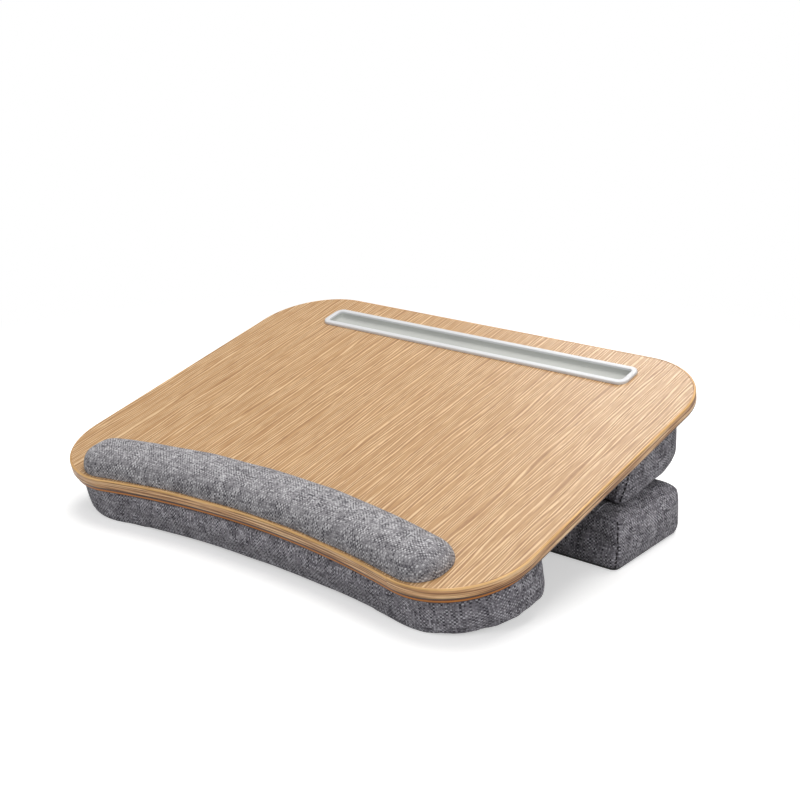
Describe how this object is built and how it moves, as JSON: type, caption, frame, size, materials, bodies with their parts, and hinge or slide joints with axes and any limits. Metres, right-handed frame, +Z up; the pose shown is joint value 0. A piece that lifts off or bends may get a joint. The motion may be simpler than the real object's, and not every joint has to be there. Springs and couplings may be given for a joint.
{
  "type": "cushioned lap desk",
  "caption": "Lap desk with a curved front wooden board, soft wrist rest, inset tray, two cushions under it and a hinged cushion riser that tilts it.",
  "frame": {"origin": "on the table, midway across the width and midway along the depth of the whole object", "axes": "+X to the user's right, +Y away from the user, +Z up; the board leans 13 degrees, its rear edge higher"},
  "size_m": [0.44, 0.3346, 0.1168],
  "materials": {
    "core_board": "raw fibreboard",
    "oak_laminate": "satin oak grain laminate",
    "edge_wood": "satin wood edge band",
    "base_wood": "dark stained wood edge",
    "screw_steel": "zinc plated",
    "white_plastic": "satin white",
    "grey_plastic": "matte light grey",
    "adhesive_tape": "double sided foam tape",
    "backing_board": "matte black sheet",
    "foam": "open cell foam",
    "pad_fabric": "heathered grey linen weave",
    "cushion_fabric": "heathered grey linen weave",
    "grip_tape": "black hook and loop"
  },
  "bodies": {
    "desk": {"board_core": "core_board", "top_laminate": "oak_laminate", "edge_band": "edge_wood", "base_panel": "base_wood", "panel_screws": "screw_steel", "tray_bezel": "white_plastic", "tray_cup": "grey_plastic", "wrist_pad_tapes": "adhesive_tape", "wrist_pad_backing": "backing_board", "wrist_pad_foam": "foam", "wrist_pad_cover": "pad_fabric", "front_cushion_foam": "foam", "front_cushion_cover": "cushion_fabric", "rear_cushion_foam": "foam", "rear_cushion_cover": "cushion_fabric", "hook_tapes": "grip_tape"},
    "riser": {"riser_cover": "cushion_fabric", "riser_foam": "foam", "riser_panel": "backing_board", "loop_tapes": "grip_tape", "riser_hinge_strip": "cushion_fabric"}
  },
  "joints": [
    {"name": "riser_fold", "type": "hinge", "parent": "desk", "child": "riser", "pos_m": [0, 0.02021, 0.03439], "axis": [-1, 0, 0], "range_deg": [0, 167], "deforming": ["riser_hinge_strip"]}
  ]
}
